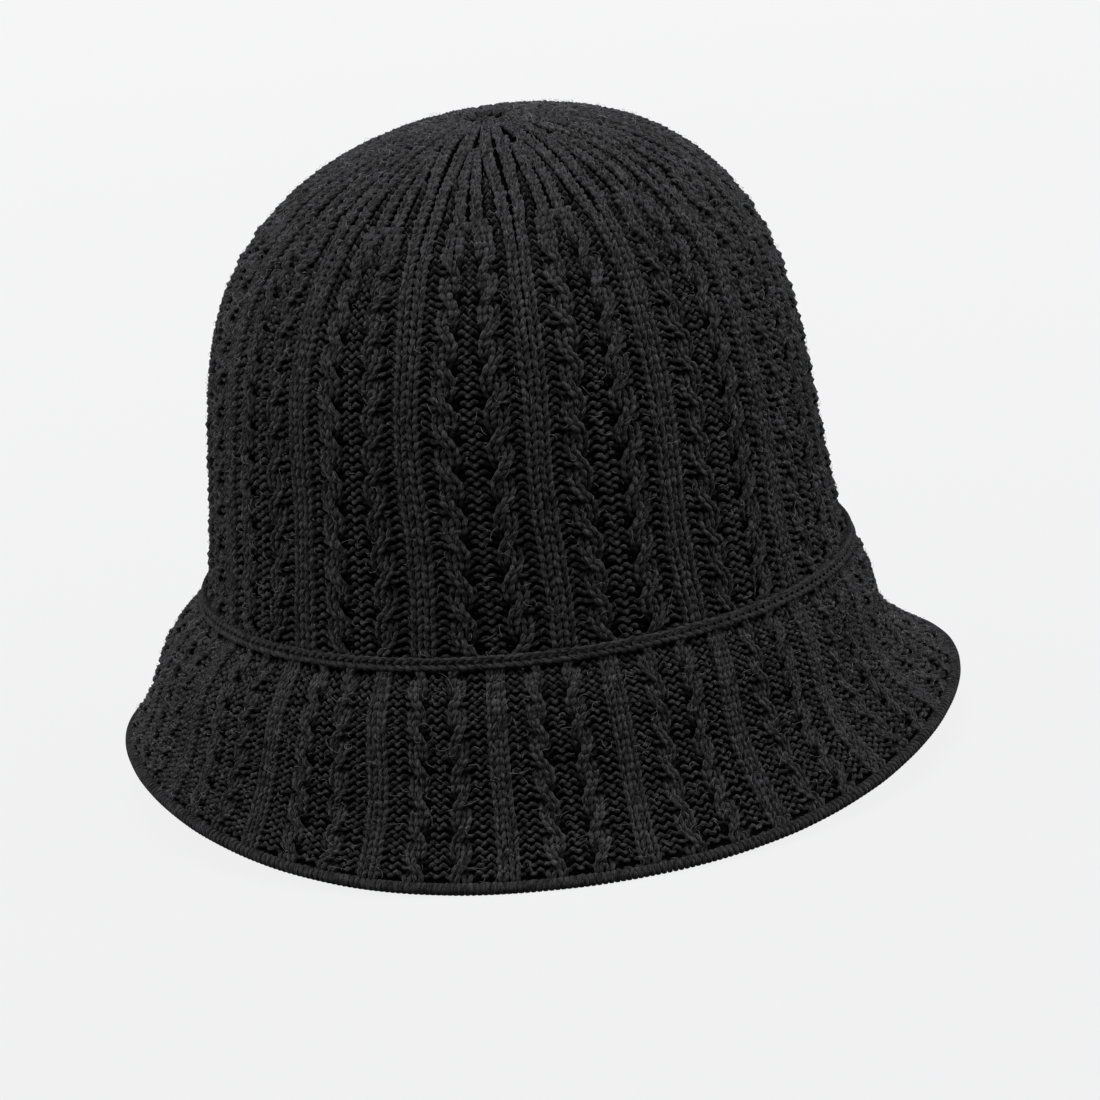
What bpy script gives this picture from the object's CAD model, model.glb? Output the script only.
import math

import bpy
import numpy as np
from mathutils import Matrix, Vector


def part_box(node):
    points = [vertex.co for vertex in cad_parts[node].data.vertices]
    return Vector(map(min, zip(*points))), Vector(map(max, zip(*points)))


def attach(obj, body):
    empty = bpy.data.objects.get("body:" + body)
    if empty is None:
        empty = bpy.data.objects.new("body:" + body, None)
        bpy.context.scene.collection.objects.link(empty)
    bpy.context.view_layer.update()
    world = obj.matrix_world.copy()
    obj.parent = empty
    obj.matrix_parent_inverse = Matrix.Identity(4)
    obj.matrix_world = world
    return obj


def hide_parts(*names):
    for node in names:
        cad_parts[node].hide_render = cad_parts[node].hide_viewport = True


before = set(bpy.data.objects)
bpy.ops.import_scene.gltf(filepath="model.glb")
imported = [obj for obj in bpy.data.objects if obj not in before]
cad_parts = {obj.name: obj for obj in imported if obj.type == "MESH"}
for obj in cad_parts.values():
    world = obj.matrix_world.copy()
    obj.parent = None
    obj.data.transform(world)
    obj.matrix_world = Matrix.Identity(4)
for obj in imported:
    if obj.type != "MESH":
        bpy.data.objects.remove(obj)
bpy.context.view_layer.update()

# The looks of a knitted cloche. Every stitch is a real loop of yarn: each course of the crown and of
# the brim is one closed ring of loops, laid on the outline that the frame's crown and brim have.
# Sizes are in millimetres until a mesh is made. -Y is the front, and azimuth 0 is +X.

MM = 0.001
TURN = 2 * math.pi
dice = np.random.default_rng(11)

# Sizes that the frame gives
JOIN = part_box("crown")[0].z / MM  # height of the join between crown and brim
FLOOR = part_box("hem_band")[0].z / MM
LABEL_LOW, LABEL_HIGH = (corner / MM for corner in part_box("care_label"))

# Crown and brim, as the frame's own outlines
JOIN_RADIUS = 95.0
CROWN_HEIGHT = 136.0
CROWN_OUTLINE = [
    (1.0, 0.0),
    (0.963, 0.204),
    (0.93, 0.427),
    (0.835, 0.685),
    (0.625, 0.871),
    (0.302, 0.977),
    (0.0, 1.0),
]
CROWN_FABRIC = 4.0
TOP_LEAN = math.radians(2.6)  # how far the crown's top tilts, with its right side the higher
TOP_SHIFT = 2.0  # and how far it lies to the right
LEAN_START = 45.0  # height above the join from which it does
BRIM_TOP = 96.5
HEM_RADIUS = 123.0
BRIM_DROP = 53.5
BRIM_OUTLINE = [(1.0, 1.0), (0.67, 0.77), (0.45, 0.5), (0.28, 0.2), (0.0, 0.0)]
BRIM_FABRIC = 3.6
BRIM_SWING = 4.7  # how far the middle of the brim lies in on the right, and out on the left
HEM_LIFT_RIGHT = 14.0  # how far the hem rises at its right end
HEM_LIFT_LEFT = 16.5
BACK = math.radians(90)


def ramp(value, low, high):
    """0 up to low, 1 from high on, and smooth between them."""
    share = np.clip((value - low) / (high - low), 0, 1)
    return share * share * (3 - 2 * share)


def unit(vectors):
    """Vectors of length 1."""
    return vectors / np.maximum(np.linalg.norm(vectors, axis=-1, keepdims=True), 1e-9)


class Outline:
    """A smooth outline (radius, height) through a few points, looked up by the distance along it.

    It sets off and arrives in the given directions, or unbent where none are given."""

    SAMPLES = 600

    def __init__(self, points, start=None, end=None):
        points = np.array(points, float)
        knots = np.concatenate([[0], np.cumsum(np.linalg.norm(np.diff(points, axis=0), axis=1))])
        spans = np.diff(knots)
        slopes = np.diff(points, axis=0) / spans[:, None]
        last = len(points) - 1
        system, target = np.eye(last + 1), np.zeros((last + 1, 2))
        for k in range(1, last):
            system[k, k - 1 : k + 2] = spans[k - 1], 2 * (spans[k - 1] + spans[k]), spans[k]
            target[k] = 6 * (slopes[k] - slopes[k - 1])
        if start is not None:
            system[0, :2] = 2 * spans[0], spans[0]
            target[0] = 6 * (slopes[0] - unit(np.array(start, float)))
            system[last, last - 1 :] = spans[-1], 2 * spans[-1]
            target[last] = 6 * (unit(np.array(end, float)) - slopes[-1])
        bend = np.linalg.solve(system, target)
        at = np.linspace(0, knots[-1], self.SAMPLES)
        k = np.clip(np.searchsorted(knots, at) - 1, 0, last - 1)
        span = spans[k][:, None]
        ahead = (at - knots[k])[:, None] / span
        behind = 1 - ahead
        curve = behind * points[k] + ahead * points[k + 1]
        curve += ((behind**3 - behind) * bend[k] + (ahead**3 - ahead) * bend[k + 1]) * span**2 / 6
        steps = np.linalg.norm(np.diff(curve, axis=0), axis=1)
        self.reach = np.concatenate([[0], np.cumsum(steps)])
        self.length = self.reach[-1]
        self.radius, self.height = curve.T
        along = unit(np.gradient(curve, axis=0))
        self.out, self.up = along[:, 1], -along[:, 0]

    def at(self, reach):
        """Radius, height, and the outward direction at this distance."""
        return (np.interp(reach, self.reach, row) for row in (self.radius, self.height, self.out, self.up))


CROWN = Outline([(JOIN_RADIUS * r, CROWN_HEIGHT * h) for r, h in CROWN_OUTLINE], (-0.12, 1), (-1, 0))
BRIM = Outline([(BRIM_TOP + (HEM_RADIUS - BRIM_TOP) * out, -BRIM_DROP * down) for out, down in BRIM_OUTLINE])


def crown_wall(azimuth, reach, proud):
    """Points this far proud of the crown's outer face, reach above the join, and the way out there."""
    radius, height, out, up = CROWN.at(reach)
    share = np.clip((height - LEAN_START) / (CROWN_HEIGHT - LEAN_START), 0, None) ** 2
    lean = TOP_LEAN * share
    across = np.stack([np.cos(azimuth) * np.cos(lean), np.sin(azimuth), np.cos(azimuth) * np.sin(lean)], -1)
    upright = np.stack([-np.sin(lean), 0 * lean, np.cos(lean)], -1)
    outward = across * out[..., None] + upright * up[..., None]
    centre = np.stack([TOP_SHIFT * share, 0 * share, JOIN + height], -1)
    return centre + across * radius[..., None] + outward * proud[..., None], outward


def brim_profile(azimuth, reach):
    """Radius and height above the join on the brim's outer face, reach up from its lower end."""
    radius, height = list(BRIM.at(reach))[:2]
    side = np.cos(azimuth)
    down = np.clip(-height / BRIM_DROP, 0, 1)
    lift = HEM_LIFT_RIGHT * np.clip(side, 0, 1) ** 3 + HEM_LIFT_LEFT * np.clip(-side, 0, 1) ** 3
    return radius - BRIM_SWING * np.sin(np.pi * down) * side, height + lift * down**1.5


def brim_wall(azimuth, reach, proud):
    """Points this far proud of the brim's outer face, and the way out. Past its ends it runs straight."""
    step = 0.4
    inside = np.clip(reach, step, BRIM.length - step)
    low = brim_profile(azimuth, inside - step)
    high = brim_profile(azimuth, inside + step)
    along = unit(np.stack([high[0] - low[0], high[1] - low[1]], -1))
    radius, height = brim_profile(azimuth, inside)
    radius = radius + along[..., 0] * (reach - inside) + along[..., 1] * proud
    height = height + along[..., 1] * (reach - inside) - along[..., 0] * proud
    points = np.stack([radius * np.cos(azimuth), radius * np.sin(azimuth), JOIN + height], -1)
    outward = np.stack([along[..., 1] * np.cos(azimuth), along[..., 1] * np.sin(azimuth), -along[..., 0]], -1)
    return points, outward


# ---------------------------------------------------------------- tubes and meshes

STREAK_STRETCH = 0.22  # streaks of fibre are this much finer across the yarn than along it


def sweep(points, outward, radius, sides, closed, lobe=0.0, twist=0.0, flat=1.0, proud=0.0):
    """A tube along a path, with plies that turn by twist at each step, and flat towards outward.

    Each vertex has its place, its place in the yarn (round it, with the plies, and along it), and how
    proud of the wall it is."""
    if closed:
        along = np.roll(points, -1, 0) - np.roll(points, 1, 0)
    else:
        along = np.gradient(points, axis=0)
    along = unit(along)
    across = unit(np.cross(along, outward))
    above = np.cross(across, along)
    angle = TURN * np.arange(sides) / sides
    turned = angle[None, :] - twist * np.arange(len(points))[:, None]
    size = np.broadcast_to(radius, len(points))[:, None] * (1 + lobe * np.cos(2 * turned))
    up = (size * np.cos(angle) * flat)[..., None] * above[:, None, :]
    aside = (size * np.sin(angle))[..., None] * across[:, None, :]
    length = np.cumsum(np.linalg.norm(np.diff(points, axis=0, prepend=points[:1]), axis=-1))
    length = length[:, None] * STREAK_STRETCH + dice.uniform(0, 900) + 0 * turned
    strand = np.stack([size * np.cos(turned), size * np.sin(turned), length], -1)
    height = np.broadcast_to(proud, len(points))[:, None]
    height = height + np.einsum("psk,pk->ps", up + aside, outward)
    return np.concatenate([points[:, None, :] + up + aside, strand, height[..., None]], -1)


def tube_mesh(name, tubes, closed, material):
    """One object from several tubes. Its bake map has a strip for each tube, with its length along U."""
    starts, rows, maps, caps = 0, [], [], []
    for number, tube in enumerate(tubes):
        count, sides = tube.shape[:2]
        step = np.arange(count if closed else count - 1)[:, None]
        side = np.arange(sides)[None, :]
        ahead = (step + 1) % count
        beside = (side + 1) % sides
        corners = [step * sides + beside, ahead * sides + beside, ahead * sides + side, step * sides + side]
        rows.append(starts + np.stack(corners, -1).reshape(-1, 4))
        around = [(side + 1, step), (side + 1, step + 1), (side, step + 1), (side, step)]
        u = np.stack([(0 * k + s) / len(step) for k, s in around], -1)
        v = np.stack([(number + (0.05 + 0.9 * (k + 0 * s) / sides)) / len(tubes) for k, s in around], -1)
        maps.append(np.stack([u, v], -1).reshape(-1, 2))
        if not closed:
            caps.append(starts + np.arange(sides))
            caps.append(starts + (count - 1) * sides + np.arange(sides)[::-1])
        starts += count * sides
    vertices = np.concatenate([tube.reshape(-1, tube.shape[-1]) for tube in tubes])
    faces = np.concatenate(rows)
    loops = [faces.ravel()] + caps
    sizes = np.concatenate([np.full(len(faces), 4), [len(cap) for cap in caps]]).astype(np.int32)
    flat_caps = [np.zeros((len(cap), 2)) for cap in caps]
    return make_mesh(name, vertices, np.concatenate(loops), sizes, np.concatenate(maps + flat_caps), material)


def make_mesh(name, vertices, loops, sizes, spots, material):
    """An object from vertices in millimetres, its faces' corners and sizes, and its bake map."""
    mesh = bpy.data.meshes.new(name)
    mesh.vertices.add(len(vertices))
    mesh.vertices.foreach_set("co", (vertices[:, :3] * MM).astype(np.float32).ravel())
    mesh.loops.add(len(loops))
    mesh.loops.foreach_set("vertex_index", loops.astype(np.int32))
    mesh.polygons.add(len(sizes))
    mesh.polygons.foreach_set("loop_start", np.concatenate([[0], np.cumsum(sizes)[:-1]]).astype(np.int32))
    mesh.update(calc_edges=True)
    spots_map = mesh.uv_layers.new(name="OFBake")
    spots_map.uv.foreach_set("vector", spots.astype(np.float32).ravel())
    if vertices.shape[-1] > 3:
        strand = mesh.attributes.new("strand", "FLOAT_VECTOR", "POINT")
        strand.data.foreach_set("vector", vertices[:, 3:6].astype(np.float32).ravel())
        proud = mesh.attributes.new("proud", "FLOAT", "POINT")
        proud.data.foreach_set("value", vertices[:, 6].astype(np.float32))
    mesh.shade_smooth()
    mesh.materials.append(material)
    piece = bpy.data.objects.new(name, mesh)
    bpy.context.scene.collection.objects.link(piece)
    return piece


def belongs(piece, body, slot, *nodes):
    """Says which body a finished piece rides, which slot its finish is, and which nodes it replaces."""
    for name in nodes:
        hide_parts(name)
    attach(piece, body)


# ---------------------------------------------------------------- materials


def colour(text):
    """An sRGB hex colour as linear red, green, blue and alpha."""
    shares = [int(text[k : k + 2], 16) / 255 for k in (1, 3, 5)]
    return [s / 12.92 if s <= 0.04045 else ((s + 0.055) / 1.055) ** 2.4 for s in shares] + [1.0]


def node(tree, kind, settings=None, inputs=None):
    """A node with its settings, and its inputs set to values or linked from other nodes' sockets."""
    made = tree.nodes.new(kind)
    for key, value in (settings or {}).items():
        setattr(made, key, value)
    for key, value in (inputs or {}).items():
        if isinstance(value, bpy.types.NodeSocket):
            tree.links.new(value, made.inputs[key])
        else:
            made.inputs[key].default_value = value
    return made


def new_material(name):
    """An empty material, its node tree and its output node."""
    material = bpy.data.materials.new(name)
    material.use_nodes = True
    material.node_tree.nodes.clear()
    return material, material.node_tree, material.node_tree.nodes.new("ShaderNodeOutputMaterial")


def finish_material(tree, output, shader):
    """Links the shader to the material's output."""
    tree.links.new(shader.outputs[0], output.inputs["Surface"])


# The streaks of fibre are drawn coarser than wool's real fibres of about 0.03 mm, so that they show.
FIBRE_STREAK = 0.45
HEATHER_SPOT = 2.2
GRAIN_SHARE = 0.7  # how much of the tone is streaks, and the rest heather
TONE_RANGE = {"From Min": 0.42, "From Max": 0.64}
CORE_LEVEL = 2.4  # how deep the middle of the fabric lies, in millimetres
CORE_SHADE = {"From Min": 0.25, "From Max": 1.5, "To Min": 0.06}  # by the distance from it


def wool_yarn(name, dark, light, sheen=0.12):
    """Wool and acrylic yarn, spun and plied, dyed before spinning: a matt dark body with a slight heather
    and streaks of fibre, darker in the matted middle of the fabric, and with a soft haze at its edges."""
    material, tree, output = new_material(name)
    place = node(tree, "ShaderNodeTexCoord").outputs["Object"]
    spots = {"Vector": place, "Scale": 1 / (HEATHER_SPOT * MM), "Detail": 3.0, "Roughness": 0.6}
    heather = node(tree, "ShaderNodeTexNoise", None, spots).outputs["Fac"]
    strand = node(tree, "ShaderNodeAttribute", {"attribute_name": "strand"}).outputs["Vector"]
    streaks = {"Vector": strand, "Scale": 1 / FIBRE_STREAK, "Detail": 2.0, "Roughness": 0.7}
    grain = node(tree, "ShaderNodeTexNoise", None, streaks).outputs["Fac"]
    mixed = {0: GRAIN_SHARE, 2: heather, 3: grain}
    tone = node(tree, "ShaderNodeMix", {"data_type": "FLOAT"}, mixed).outputs[0]
    spread = node(tree, "ShaderNodeMapRange", None, {"Value": tone, **TONE_RANGE}).outputs[0]
    proud = node(tree, "ShaderNodeAttribute", {"attribute_name": "proud"}).outputs["Fac"]
    from_core = node(tree, "ShaderNodeMath", {"operation": "ADD"}, {0: proud, 1: CORE_LEVEL}).outputs[0]
    from_core = node(tree, "ShaderNodeMath", {"operation": "ABSOLUTE"}, {0: from_core}).outputs[0]
    shaded = node(tree, "ShaderNodeMapRange", None, {"Value": from_core, **CORE_SHADE}).outputs[0]
    share = node(tree, "ShaderNodeMath", {"operation": "MULTIPLY"}, {0: spread, 1: shaded}).outputs[0]
    tint = node(tree, "ShaderNodeMix", {"data_type": "RGBA"}, {0: share, 6: colour(dark), 7: colour(light)})
    bump = node(tree, "ShaderNodeBump", None, {"Height": grain, "Strength": 0.9, "Distance": 0.4 * MM})
    shader = node(
        tree,
        "ShaderNodeBsdfPrincipled",
        None,
        {
            "Base Color": tint.outputs[2],
            "Roughness": 0.82,
            "Specular IOR Level": 0.1,
            "Sheen Weight": sheen,
            "Sheen Roughness": 0.45,
            "Sheen Tint": colour("#c9c9cc"),
            "Normal": bump.outputs["Normal"],
        },
    )
    finish_material(tree, output, shader)
    return material


def plain_finish(name, shade, roughness, grain_mm, strength, metallic=0.0, sheen=0.0, specular=0.5):
    """A matt or satin finish whose grain is worked out from one size."""
    material, tree, output = new_material(name)
    place = node(tree, "ShaderNodeTexCoord").outputs["Object"]
    spots = {"Vector": place, "Scale": 1 / (grain_mm * MM), "Detail": 3.0}
    grain = node(tree, "ShaderNodeTexNoise", None, spots).outputs["Fac"]
    tone = node(tree, "ShaderNodeMapRange", None, {"Value": grain, "To Min": 0.75, "To Max": 1.2}).outputs[0]
    multiply = {"data_type": "RGBA", "blend_type": "MULTIPLY"}
    tint = node(tree, "ShaderNodeMix", multiply, {0: 1.0, 6: colour(shade), 7: tone})
    bump = node(tree, "ShaderNodeBump", None, {"Height": grain, "Strength": strength, "Distance": 0.1 * MM})
    shader = node(
        tree,
        "ShaderNodeBsdfPrincipled",
        None,
        {
            "Base Color": tint.outputs[2],
            "Roughness": roughness,
            "Metallic": metallic,
            "Specular IOR Level": specular,
            "Sheen Weight": sheen,
            "Normal": bump.outputs["Normal"],
        },
    )
    finish_material(tree, output, shader)
    return material


# Two-ply wool and acrylic yarn, as the knits are made of
KNIT_YARN = wool_yarn("black_wool_blend_yarn", "#050505", "#4a4a4c")
# The same yarn, more tightly plied, for linking and the band
CORD_YARN = wool_yarn("black_linking_yarn", "#090909", "#3e3e40")
# Fibre that has worked loose and matted together between the stitches
FELTED_CORE = plain_finish("felted_black_wool", "#070707", 1.0, 0.6, 0.5, specular=0.0)
# Single fibres of wool that stand off the yarn and catch the light
LOOSE_FIBRE = plain_finish("loose_wool_fibre", "#88888a", 0.6, 1.5, 0.1)
# Ribbed ribbon woven of rayon
GROSGRAIN = plain_finish("black_rayon_grosgrain", "#17171a", 0.55, 0.3, 0.4, sheen=0.2)
# Thread spun of polyester
SEWING_THREAD = plain_finish("black_polyester_thread", "#1d1d20", 0.45, 0.25, 0.3)
# Satin-woven polyester ribbon, cut hot
SATIN = plain_finish("pale_polyester_satin", "#c9c8c4", 0.38, 0.4, 0.2, sheen=0.3)
# Extruded nylon, and drawn and plated steel tube
NYLON = plain_finish("clear_nylon_filament", "#b9bbb8", 0.3, 0.8, 0.1)
SLEEVE_STEEL = plain_finish("nickel_plated_steel_sleeve", "#a9aaab", 0.35, 0.5, 0.1, metallic=1.0)


# ---------------------------------------------------------------- knitting

# One repeat of each stitch pattern, read round the hat. K is a knit wale and P a purl wale. < and > are
# the two wales of a cable, whose front strand leans left or right on its way up.
CROWN_REPEAT = "KKP<<PP>>P"
CROWN_REPEATS = 15
CROWN_FIRST = math.radians(274.6)  # azimuth of the first repeat's rib
CROWN_COURSE = 2.45
BRIM_REPEAT = "KKPP<<PP>>PP"
BRIM_REPEATS = 19
BRIM_FIRST = math.radians(263.0)
BRIM_COURSES = 26

# Radii in the crown's top at which decreases close each wale of the repeat, and at which it is at its
# full width
CROWN_CLOSING = [
    (0, 1),
    (8, 15),
    (20, 95),
    (20, 48),
    (46, 84),
    (47, 92),
    (47, 92),
    (46, 84),
    (20, 48),
    (20, 95),
]
SMALLEST_WALE = 0.33  # share of its full width below which a wale ends
CABLES_END = (62.0, 70.0)  # radii at which the cables are gone, and still whole

LOOP_STEPS = 12
YARN_SIDES = 8
# The shapes of a purl loop and of a knit loop, in that order
LOOP_BULGE = (0.10, 0.17)  # how far the head swells sideways, as a share of its wale
LOOP_REACH = 0.75  # half of its height, as a share of a course
LOOP_DEPTH = (1.2, 0.8)  # how far it stands out and sinks in
LOOP_YARN = (0.96, 1.08)  # how full its yarn is
YARN_SWELL = 0.15  # how much fuller the yarn is where it comes to the face than where it goes back
PURL_RECESS = 0.6  # how much further back a purl wale lies than a knit one
CLOSING_SINK = (0.4, 0.5)  # how far its wale sinks as it closes
CABLE_COURSES = 4
CABLE_MIDDLE = 1.5  # the course in each period at which the strands cross
CABLE_SPAN = 1.6  # courses it takes them from their own place to the middle
CABLE_ROUNDING = 1.1  # courses before and after the crossing over which they stand out or sink
CABLE_FRONT = 1.05  # how far a cable's front strand stands out at the crossing
CABLE_BEHIND = 1.7  # and how far its other strand sinks
CABLE_REST = 0.5  # how far both lie back
PULL = 0.10  # how far a knit wale's legs draw together in the crown's top, as a share of the wale
VALLEY = 1.0  # how much deeper the yarn lies there between one wale and the next
TOP_FULLER = 0.1  # and how much fuller it is
TOP_STARTS = (52.0, 84.0)  # radii at which these are full, and at which they start
PLY_TWIST = math.radians(44)  # at each step along the yarn
KNIT_LOBE = 0.14  # how far its plies stand out, as a share of its radius
# How uneven hand-like tension leaves each loop: its height, its place, how proud it is, and its thickness
UNEVEN = (0.07, 0.055, 0.12, 0.07)


class Fabric:
    """A knitted wall: its shape, stitch pattern and gauge."""

    def __init__(self, wall, repeat, repeats, first, course, yarn, outline, closing=None):
        self.wall = wall
        self.repeat = repeat
        self.repeats = repeats
        self.first = first
        self.course = course
        self.yarn = yarn
        self.outline = outline
        self.closing = closing

    def widths(self, radius):
        """Each wale's width at this radius, as a share of a full wale."""
        if self.closing is None:
            return np.ones(len(self.repeat))
        shares = [(radius - end) / (full - end) for end, full in self.closing]
        shares = np.clip(shares, 0, 1)
        return np.where(shares < SMALLEST_WALE, 0, shares)


def between(own, bend):
    """Each wale's own value, passing over to its neighbour's half way between the two."""
    share = 0.5 * ramp(np.abs(bend), math.pi / 2, math.pi)
    beside = np.where(bend > 0, np.roll(own, -1, 0), np.roll(own, 1, 0))
    return own * (1 - share) + beside * share


def knit_course(fabric, number):
    """One course of loops: at each step of its yarn, the place, the way out from the wall, the yarn's radius,
    and how proud of the wall it is."""
    level = (number + 0.5) * fabric.course
    radius = float(list(fabric.outline.at(level))[0])
    widths = fabric.widths(radius)
    kept = np.flatnonzero(widths)
    shares = widths[kept] / widths.sum() * TURN / fabric.repeats
    ribs = shares[kept < 2].sum()
    starts = np.concatenate([[0], np.cumsum(shares)[:-1]]) - ribs / 2
    repeats = fabric.first + TURN / fabric.repeats * np.arange(fabric.repeats)
    centre = (repeats[:, None] + starts + shares / 2).reshape(-1, 1)
    width = np.tile(shares, fabric.repeats)[:, None]
    kinds = [fabric.repeat[k] for k in kept]
    knit = np.tile([-1.0 if kind == "P" else 1.0 for kind in kinds], fabric.repeats)[:, None]
    thin = np.tile(1 - widths[kept], fabric.repeats)[:, None]
    slot = np.tile([slot_of(fabric.repeat, k) for k in kept], fabric.repeats)[:, None]
    front = np.tile([{"<": -1, ">": 1}.get(kind, 0) for kind in kinds], fabric.repeats)[:, None]

    bend = -math.pi + TURN * np.arange(LOOP_STEPS)[None, :] / LOOP_STEPS
    window = np.cos(bend / 2) ** 2
    loops = len(centre)
    uneven = dice.normal(0, 1, (4, loops, 1))
    pairs = (LOOP_BULGE, LOOP_DEPTH, LOOP_YARN, CLOSING_SINK)
    bulge, depth, full, sink = (np.where(knit > 0, pair[1], pair[0]) for pair in pairs)
    rise = LOOP_REACH * np.cos(bend) * (1 + UNEVEN[0] * uneven[0] * window) * fabric.course

    cell = number % CABLE_COURSES
    after = cell > CABLE_MIDDLE
    phase = cell + rise / fabric.course
    cross = ramp(phase, CABLE_MIDDLE - CABLE_SPAN, CABLE_MIDDLE + CABLE_SPAN)
    fade = 1.0 if fabric.closing is None else float(ramp(radius, *CABLES_END))
    move = slot * (1 - cross if after else cross) * fade * width
    in_front = -slot * front if after else slot * front
    stand = np.where(in_front > 0, CABLE_FRONT, CABLE_BEHIND) * in_front
    stand = stand * np.exp(-(((phase - CABLE_MIDDLE) / CABLE_ROUNDING) ** 2)) * fade

    recess = PURL_RECESS * (knit < 0) + sink * thin + CABLE_REST * np.abs(slot) * fade
    deep = -(depth + fabric.yarn) - recess
    top = 0.0 if fabric.closing is None else float(1 - ramp(radius, *TOP_STARTS))
    pull = PULL * top * (knit > 0)
    across = bend / TURN + bulge * np.sin(2 * bend) - pull * np.sin(bend)
    azimuth = centre + width * (across + UNEVEN[1] * uneven[1] * window) + between(move, bend)
    wave = np.cos(2 * bend)
    proud = between(deep + stand, bend) - wave * between(knit * depth + 0 * bend, bend)
    proud = proud + UNEVEN[2] * uneven[2] * window - VALLEY * top * (1 - window) ** 2
    reach = level + rise
    full = between(full + 0 * bend, bend) - YARN_SWELL * wave * between(knit + 0 * bend, bend)
    thickness = fabric.yarn * (full + TOP_FULLER * top + UNEVEN[3] * uneven[3] * window).ravel()
    azimuth, reach, proud = (row.ravel() for row in (azimuth, reach, proud))
    # Wear has drawn the knitting a little out of true, sideways and up.
    sway = 0.5 * np.sin(3 * azimuth + reach / 17) + 0.35 * np.sin(11 * azimuth - reach / 9 + 1)
    azimuth = azimuth + sway / max(radius, 12)
    reach = reach + 0.25 * np.sin(5 * azimuth + 2) + 0.15 * np.sin(17 * azimuth + number)
    return *fabric.wall(azimuth, reach, proud), thickness, proud


def slot_of(repeat, k):
    """1 for the left wale of a cable, -1 for the right one, and 0 for any other wale."""
    if repeat[k] not in "<>":
        return 0
    return 1 if repeat[k - 1] != repeat[k] else -1


def add_knitting(name, node_name, slot, fabric, courses, per_piece):
    """A wall of knitting in bands of whole courses, each a piece of its own."""
    for first in range(0, courses, per_piece):
        tubes = []
        for number in range(first, min(first + per_piece, courses)):
            points, outward, thickness, proud = knit_course(fabric, number)
            tube = sweep(points, outward, thickness, YARN_SIDES, True, KNIT_LOBE, PLY_TWIST, proud=proud)
            tubes.append(tube)
        piece = tube_mesh(f"{name}_{first // per_piece + 1:02d}", tubes, True, KNIT_YARN)
        belongs(piece, "hat", slot, node_name)


CROWN_YARN = 0.66
BRIM_YARN = 0.6
CROWN_COURSES = int((CROWN.length - 4.5) / CROWN_COURSE)
BRIM_COURSE = BRIM.length / BRIM_COURSES
CROWN_FACE = Fabric(
    crown_wall, CROWN_REPEAT, CROWN_REPEATS, CROWN_FIRST, CROWN_COURSE, CROWN_YARN, CROWN, CROWN_CLOSING
)
BRIM_FACE = Fabric(brim_wall, BRIM_REPEAT, BRIM_REPEATS, BRIM_FIRST, BRIM_COURSE, BRIM_YARN, BRIM)


# ---------------------------------------------------------------- between and round the knitting

# Fibre that has matted between the stitches closes the gaps behind the loops.
CORE_DEPTHS = (2.15, 2.3)
CORE_COLUMNS = 300
CORE_ROWS = 40


def add_matted_fibre(name, slot, wall, low, high):
    """A thin closed skin in the middle of a wall's fabric, between two distances along it."""
    azimuth = TURN * np.arange(CORE_COLUMNS)[:, None] / CORE_COLUMNS
    reaches = np.linspace(low, high, CORE_ROWS)
    section = np.concatenate([reaches, reaches[::-1]])[None, :]
    proud = np.repeat([-depth for depth in CORE_DEPTHS], CORE_ROWS)[None, :]
    azimuth, section, proud = np.broadcast_arrays(azimuth, section, proud)
    skin = tube_mesh(name, [wall(azimuth, section, proud)[0]], True, FELTED_CORE)
    belongs(skin, "hat", slot)


SEAM_RADIUS = 93.6
SEAM_DROP = 0.4
SEAM_THICKNESS = 2.3
SEAM_WAVES = 37


def add_seam_allowance():
    """The edges of the two knits, turned in along the join and bound together into one soft ridge."""
    count = 1500
    azimuth = TURN * np.arange(count) / count
    radius = SEAM_RADIUS + 0.15 * np.sin(SEAM_WAVES * azimuth)
    level = JOIN - SEAM_DROP + 0 * azimuth
    path = np.stack([radius * np.cos(azimuth), radius * np.sin(azimuth), level], -1)
    outwards = np.stack([np.cos(azimuth), np.sin(azimuth), 0 * azimuth], -1)
    ridge = sweep(path, outwards, SEAM_THICKNESS, 14, True, 0.12, 0.35)
    belongs(tube_mesh("seam_allowance", [ridge], True, CORD_YARN), "hat", "linking_yarn")


WELT_RADIUS = 96.0
WELT_RISE = 1.0
WELT_STITCH = 2.6
WELT_HEIGHT = 3.5
WELT_YARN = 0.68
WELT_LEAN = math.radians(20)


def add_welt():
    """The linking chain: a row of Vs that lie on their side round the join."""
    count = round(TURN * WELT_RADIUS / WELT_STITCH)
    bend = np.linspace(-0.8, 0.8, 13) * math.pi
    upward = np.array([0.0, 0.0, 1.0])
    tubes = []
    for k in range(count):
        push = dice.normal(0, 1, 2)
        along = WELT_STITCH * (k + 0.8 * np.cos(bend) + 0.04 * push[0])
        across = WELT_HEIGHT * np.sin(bend) * (0.33 + 0.2 * np.cos(bend)) * (1 + 0.06 * push[1])
        proud = 0.5 - 0.4 * np.cos(2 * bend)
        azimuth = along / WELT_RADIUS
        outward = np.stack([np.cos(azimuth), np.sin(azimuth), 0 * azimuth], -1)
        out = outward * math.cos(WELT_LEAN) + upward * math.sin(WELT_LEAN)
        upright = upward * math.cos(WELT_LEAN) - outward * math.sin(WELT_LEAN)
        middle = outward * WELT_RADIUS + upward * (JOIN + WELT_RISE)
        points = middle + out * proud[:, None] + upright * across[:, None]
        tubes.append(sweep(points, out, WELT_YARN, YARN_SIDES, False, 0.16, PLY_TWIST))
    belongs(tube_mesh("join_chain", tubes, False, CORD_YARN), "hat", "linking_yarn", "join_welt")


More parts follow.
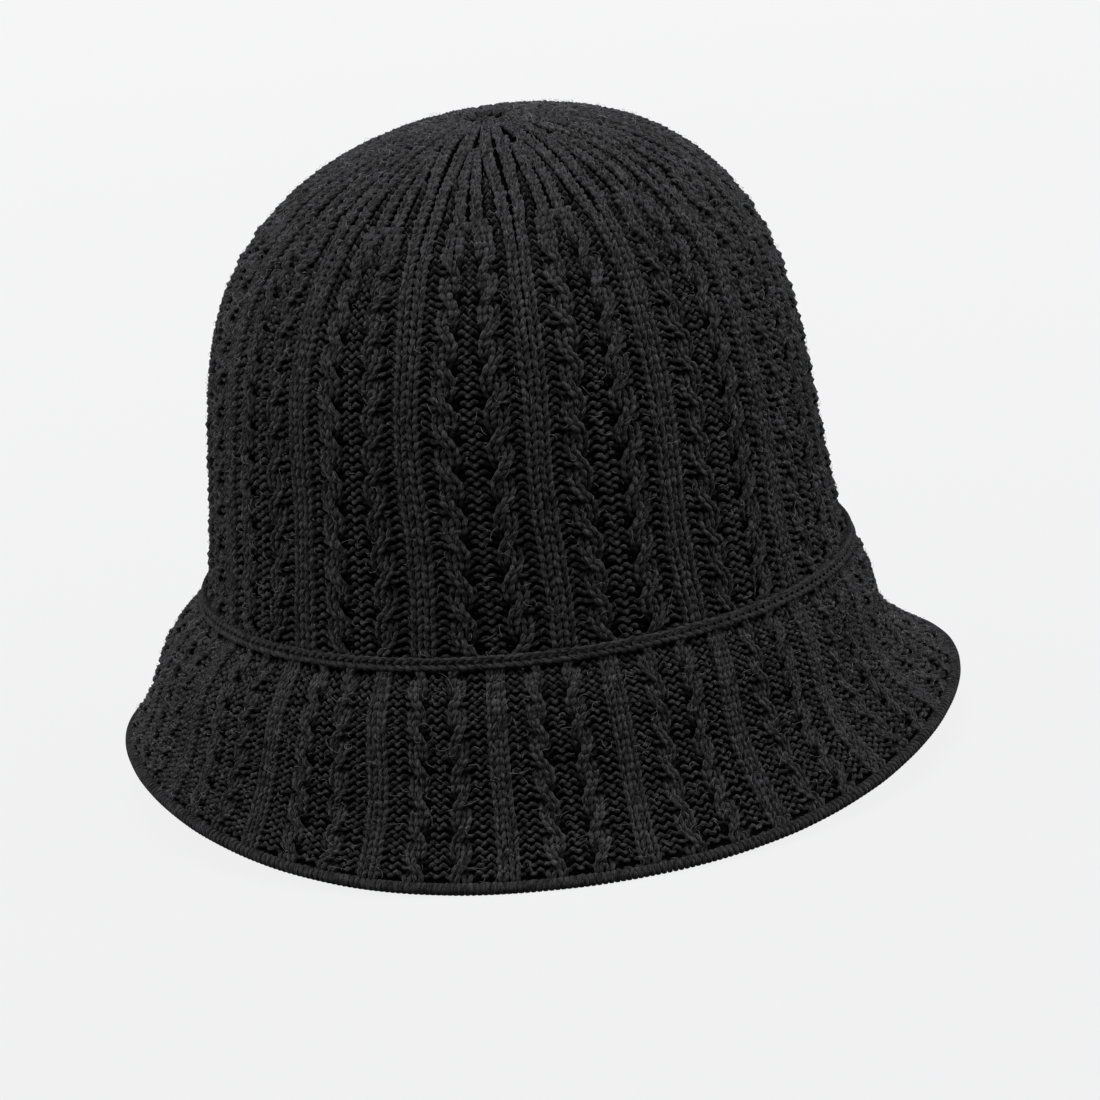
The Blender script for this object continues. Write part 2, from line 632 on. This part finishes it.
BAND_WIDTH = 3.4
BAND_WRAPS = 464
WRAP_STEPS = 12
WRAP_YARN = 0.8
WRAP_FLAT = 0.52
WRAP_RADIUS = 1.38


def add_hem_band():
    """The rib band: yarn that is wrapped closely round the folded edge, all the way round the hem."""
    step = np.arange(BAND_WRAPS * WRAP_STEPS)
    azimuth = BACK + TURN * step / len(step)
    round_edge = TURN * step / WRAP_STEPS
    reach, proud = np.full(len(step), -BAND_WIDTH / 2), np.full(len(step), -BRIM_FABRIC / 2)
    middle, out = brim_wall(azimuth, reach, proud)
    onwards = np.cross(np.stack([-np.sin(azimuth), np.cos(azimuth), 0 * azimuth], -1), out)
    away = out * np.cos(round_edge)[:, None] + onwards * np.sin(round_edge)[:, None]
    uneven = 1 + 0.03 * np.sin(step / 131) + 0.02 * np.sin(step / 37)
    path = middle + away * (WRAP_RADIUS * uneven)[:, None]
    tube = sweep(path, away, WRAP_YARN, YARN_SIDES, True, 0.06, 0.5, WRAP_FLAT)
    tube[..., 2] = np.maximum(tube[..., 2], FLOOR)
    belongs(tube_mesh("hem_rib_band", [tube], True, CORD_YARN), "hat", "band_knit", "hem_band")


TAPE_RISE = 2.0
TAPE_HEIGHT = 28.0
TAPE_DEPTH = CROWN_FABRIC + 0.3
TAPE_THICKNESS = 1.2
TAPE_LAP = 14.0
LAP_CLIMB = 0.12
TAPE_RIB = 0.9
TAPE_RELIEF = 0.14


def add_sweatband():
    """A ribbed grosgrain tape round the inside of the opening, its ends lapped at the back."""
    radius = JOIN_RADIUS - TAPE_DEPTH
    half = TAPE_LAP / JOIN_RADIUS / 2
    length = radius * (TURN + 2 * half)
    count = 4 * round(length / TAPE_RIB)
    azimuth = BACK - half + (TURN + 2 * half) * np.arange(count)[:, None] / (count - 1)
    # The tape's second end climbs over its first one at the back.
    lap_end = BACK - half + TURN
    lapped = TAPE_THICKNESS * ramp(azimuth, lap_end - LAP_CLIMB, lap_end)
    relief = TAPE_RELIEF * np.cos(TURN * np.arange(count)[:, None] / 4)
    edge = np.array([0, 0.02, 0.06, 0.2, 0.4, 0.6, 0.8, 0.94, 0.98, 1])
    rounding = np.array([0.3, 0.8, 1, 1, 1, 1, 1, 1, 0.8, 0.3])
    rise = TAPE_RISE + TAPE_HEIGHT * np.concatenate([edge, edge[::-1]])[None, :]
    side = np.concatenate([rounding, -rounding[::-1]])[None, :]
    thick = TAPE_THICKNESS / 2 - TAPE_RELIEF + relief
    proud = -(TAPE_DEPTH + TAPE_THICKNESS / 2 + lapped) + side * thick
    azimuth, rise, proud = np.broadcast_arrays(azimuth, rise, proud)
    tape = tube_mesh("sweatband_tape", [crown_wall(azimuth, rise, proud)[0][::-1]], False, GROSGRAIN)
    belongs(tape, "hat", "woven_tape", "sweatband")


STITCH_LENGTH = 2.6
STITCH_GAP = 0.6
STITCH_INSET = 2.5
THREAD_RADIUS = 0.3


def add_stitching(name, rise):
    """A row of lockstitches through the tape."""
    depth = TAPE_DEPTH + TAPE_THICKNESS
    radius = JOIN_RADIUS - depth
    count = round(TURN * radius / (STITCH_LENGTH + STITCH_GAP))
    share = np.linspace(-0.5, 0.5, 9)
    tubes = []
    for k in range(count):
        azimuth = (TURN * k / count) + share * STITCH_LENGTH / radius
        lap = TAPE_THICKNESS * float(abs(azimuth[4] - BACK) < TAPE_LAP / JOIN_RADIUS / 2)
        proud = -(depth + lap) - 0.2 + 0.9 * (2 * np.abs(share)) ** 4
        tilt = 0.12 * share * (1 if k % 2 else -1)
        points, out = crown_wall(azimuth, rise + tilt, proud)
        tubes.append(sweep(points, out, THREAD_RADIUS, 6, False, 0.08, 0.6))
    belongs(tube_mesh(f"{name}_thread", tubes, False, SEWING_THREAD), "hat", "sewing_thread", name)


def add_label():
    """A blank satin care label that hangs from its sewn upper edge."""
    rows, columns = 22, 17
    width, thick, tall = LABEL_HIGH - LABEL_LOW
    down = np.linspace(0, 1, rows)[:, None]
    across = np.linspace(-0.5, 0.5, columns)
    side = np.concatenate([across, across[::-1]])[None, :]
    face = np.concatenate([np.full(columns, -1.0), np.full(columns, 1.0)])[None, :]
    half = thick / 2 * (0.55 + 0.45 * (1 - ramp(down, 0.1, 0.2)))
    curl = -1.1 * down**2 - 0.35 * np.sin(3 * down) * np.cos(2 * np.pi * side) * down
    x = width * side * (1 - 0.02 * down)
    y = (LABEL_LOW.y + LABEL_HIGH.y) / 2 + curl + face * half + 0 * side
    z = LABEL_HIGH.z - tall * down + 0 * side
    label = tube_mesh("care_label_satin", [np.stack([x, y, z], -1)], False, SATIN)
    belongs(label, "label", "label_satin", "care_label")


GATHER_RADIUS = 2.1
CLOSING_YARN = 0.75
KNOT_DROP = 3.4


def add_closing_yarn():
    """The yarn that gathers the last stitches, drawn down through the eye and knotted inside."""
    turn = np.linspace(0, TURN, 60, endpoint=False)
    top = JOIN + CROWN_HEIGHT - CROWN_FABRIC / 2
    x = TOP_SHIFT + GATHER_RADIUS * np.cos(turn)
    loop = np.stack([x, GATHER_RADIUS * np.sin(turn), top + 0.3 * np.sin(5 * turn)], -1)
    outwards = np.stack([np.cos(turn), np.sin(turn), 0 * turn], -1)
    tubes = [sweep(loop, outwards, CLOSING_YARN, YARN_SIDES, True, 0.1, PLY_TWIST)]
    knot_level = JOIN + CROWN_HEIGHT - CROWN_FABRIC - KNOT_DROP
    # The knot is a trefoil.
    fold = 0.62
    x = TOP_SHIFT + fold * (np.sin(turn) + 2 * np.sin(2 * turn))
    y = fold * (np.cos(turn) - 2 * np.cos(2 * turn))
    z = knot_level - 0.8 * np.sin(3 * turn)
    tubes.append(sweep(np.stack([x, y, z], -1), outwards, CLOSING_YARN, YARN_SIDES, True, 0.1, PLY_TWIST))
    piece = tube_mesh("closing_yarn_knot", tubes, True, CORD_YARN)
    belongs(piece, "hat", "linking_yarn", "closing_yarn")
    strands = []
    drop = np.linspace(0, 1, 12)
    backwards = np.tile([0.0, 1.0, 0.0], (len(drop), 1))
    for side in (-1, 1):
        x = TOP_SHIFT + side * (1.4 - 0.7 * drop)
        stem = np.stack([x, 0.5 * np.sin(4 * drop), top - (top - knot_level) * drop], -1)
        strands.append(sweep(stem, backwards, CLOSING_YARN, YARN_SIDES, False, 0.1, PLY_TWIST))
        x = TOP_SHIFT + side * (0.8 + 4 * drop**1.5)
        tail = np.stack([x, side * 1.5 * drop, knot_level - 0.5 - 5 * drop], -1)
        strands.append(sweep(tail, backwards, CLOSING_YARN * 0.85, YARN_SIDES, False, 0.1, PLY_TWIST))
    ends = tube_mesh("closing_yarn_strands", strands, False, CORD_YARN)
    belongs(ends, "hat", "linking_yarn")


FIBRES = 5200
FIBRE_RADIUS = 0.035  # about three times a real fibre's, so that one shows
FIBRE_SPREAD = 95.0  # radius at which every fibre is kept
USUAL_RADIUS = 90.0  # where a length round the hat is turned into an angle


def add_fibres(name, slot, wall, low, high, share):
    """Loose fibres that stand off the yarn, each a fine curved hair, spread evenly over the wall."""
    steps = np.linspace(0, 1, 7)
    tubes = []
    for _ in range(round(FIBRES * share)):
        azimuth, reach = dice.uniform(0, TURN), dice.uniform(low, high)
        place = wall(np.array([azimuth]), np.array([reach]), np.zeros(1))[0][0]
        if math.hypot(place[0], place[1]) < dice.uniform(0, FIBRE_SPREAD):
            continue
        heading, turned = dice.uniform(0, TURN), dice.normal(0, 1.6)
        size = dice.lognormal(0.75, 0.45)
        height = dice.uniform(0.25, 1.0)
        along = np.cumsum(np.cos(heading + turned * steps)) * size / len(steps)
        aside = np.cumsum(np.sin(heading + turned * steps)) * size / len(steps)
        proud = -0.5 + 1.2 * height * np.sin(np.pi * steps**0.8) + 0.3 * steps
        points, out = wall(azimuth + along / USUAL_RADIUS, reach + aside, proud)
        tubes.append(sweep(points, out, FIBRE_RADIUS, 3, False))
    belongs(tube_mesh(name, tubes, False, LOOSE_FIBRE), "hat", slot)


add_knitting("crown_knit", "crown", "crown_knit", CROWN_FACE, CROWN_COURSES, 6)
add_knitting("brim_knit", "brim", "brim_knit", BRIM_FACE, BRIM_COURSES, 4)
add_matted_fibre("crown_matted_fibre", "crown_knit", crown_wall, 0.5, CROWN.length - 5)
add_matted_fibre("brim_matted_fibre", "brim_knit", brim_wall, -1.4, BRIM.length + 0.5)
add_seam_allowance()
add_welt()
add_hem_band()
add_sweatband()
add_stitching("upper_stitching", TAPE_RISE + TAPE_HEIGHT - STITCH_INSET)
add_stitching("lower_stitching", TAPE_RISE + STITCH_INSET)
add_label()
add_closing_yarn()
add_fibres("crown_loose_fibres", "crown_knit", crown_wall, 2, CROWN.length - 8, 0.7)
add_fibres("brim_loose_fibres", "brim_knit", brim_wall, 1, BRIM.length - 2, 0.3)
# The filament and its sleeve keep the frame's own shapes.
for node_name, slot_name, finish in (
    ("hem_filament", "filament", NYLON),
    ("filament_sleeve", "sleeve", SLEEVE_STEEL),
):
    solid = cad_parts[node_name]
    solid.data.materials.clear()
    solid.data.materials.append(finish)


# ---------------------------------------------------------------- floor, light and camera


def add_floor():
    """A plain floor like backlit paper: nearly all its white is its own glow, so shadows on it are faint."""
    half = 6.0
    mesh = bpy.data.meshes.new("floor")
    corners = [(half * x, half * y, FLOOR * MM) for x, y in ((-1, -1), (1, -1), (1, 1), (-1, 1))]
    mesh.from_pydata(corners, [], [(0, 1, 2, 3)])
    floor = bpy.data.objects.new("floor", mesh)
    bpy.context.scene.collection.objects.link(floor)
    material, tree, output = new_material("pale_paper")
    paper = node(tree, "ShaderNodeBsdfDiffuse", None, {"Color": colour("#303031")})
    place = node(tree, "ShaderNodeTexCoord").outputs["Object"]
    away = node(tree, "ShaderNodeSeparateXYZ", None, {0: place}).outputs["Y"]
    brighter = {"Value": away, "From Min": -0.4, "From Max": 1.5, "To Min": 0.84, "To Max": 0.92}
    strength = node(tree, "ShaderNodeMapRange", None, brighter).outputs[0]
    glow = node(tree, "ShaderNodeEmission", None, {"Color": colour("#fefeff"), "Strength": strength})
    both = node(tree, "ShaderNodeAddShader", None, {0: paper.outputs[0], 1: glow.outputs[0]})
    finish_material(tree, output, both)
    mesh.materials.append(material)
    floor.visible_diffuse = False
    floor.visible_glossy = False


def add_light(name, place, target, size, power):
    """A square softbox that faces its target."""
    data = bpy.data.lights.new(name, "AREA")
    data.size = size
    data.energy = power
    lamp = bpy.data.objects.new(name, data)
    bpy.context.scene.collection.objects.link(lamp)
    lamp.location = place
    lamp.rotation_euler = (Vector(target) - Vector(place)).to_track_quat("-Z", "Y").to_euler()


def add_world(strength):
    """Faint, even light from all round."""
    world = bpy.data.worlds.new("studio")
    world.use_nodes = True
    background = world.node_tree.nodes["Background"]
    background.inputs["Color"].default_value = colour("#fbfbff")
    background.inputs["Strength"].default_value = strength
    bpy.context.scene.world = world


def add_camera():
    """The camera looks at the middle of the join, and is a little rolled, so the hat leans to the left."""
    elevation = math.radians(16.68)
    roll = math.radians(-6.17)
    distance = 1.4286
    target = Vector((0, 0, JOIN * MM))
    away = Vector((0, -math.cos(elevation), math.sin(elevation)))
    data = bpy.data.cameras.new("camera")
    data.sensor_width = 36.0
    data.lens = 157.6
    data.shift_x = 0.021
    data.shift_y = 0.012
    camera = bpy.data.objects.new("camera", data)
    bpy.context.scene.collection.objects.link(camera)
    turn = (-away).to_track_quat("-Z", "Y").to_matrix() @ Matrix.Rotation(roll, 3, "Z")
    camera.location = target + away * distance
    camera.rotation_euler = turn.to_euler()
    bpy.context.scene.camera = camera


add_floor()
add_world(0.12)
MIDDLE = (0, 0, JOIN * MM)
add_light("overhead_softbox", (0.1, -0.2, 1.5), MIDDLE, 0.9, 13)
add_light("front_softbox", (-0.2, -1.3, 1.7), MIDDLE, 0.7, 12)
add_light("right_softbox", (1.6, -0.3, 0.9), MIDDLE, 0.8, 16)
add_light("left_softbox", (-1.6, 0.0, 0.9), MIDDLE, 0.8, 16)
add_camera()
bpy.context.scene.view_settings.view_transform = "Standard"
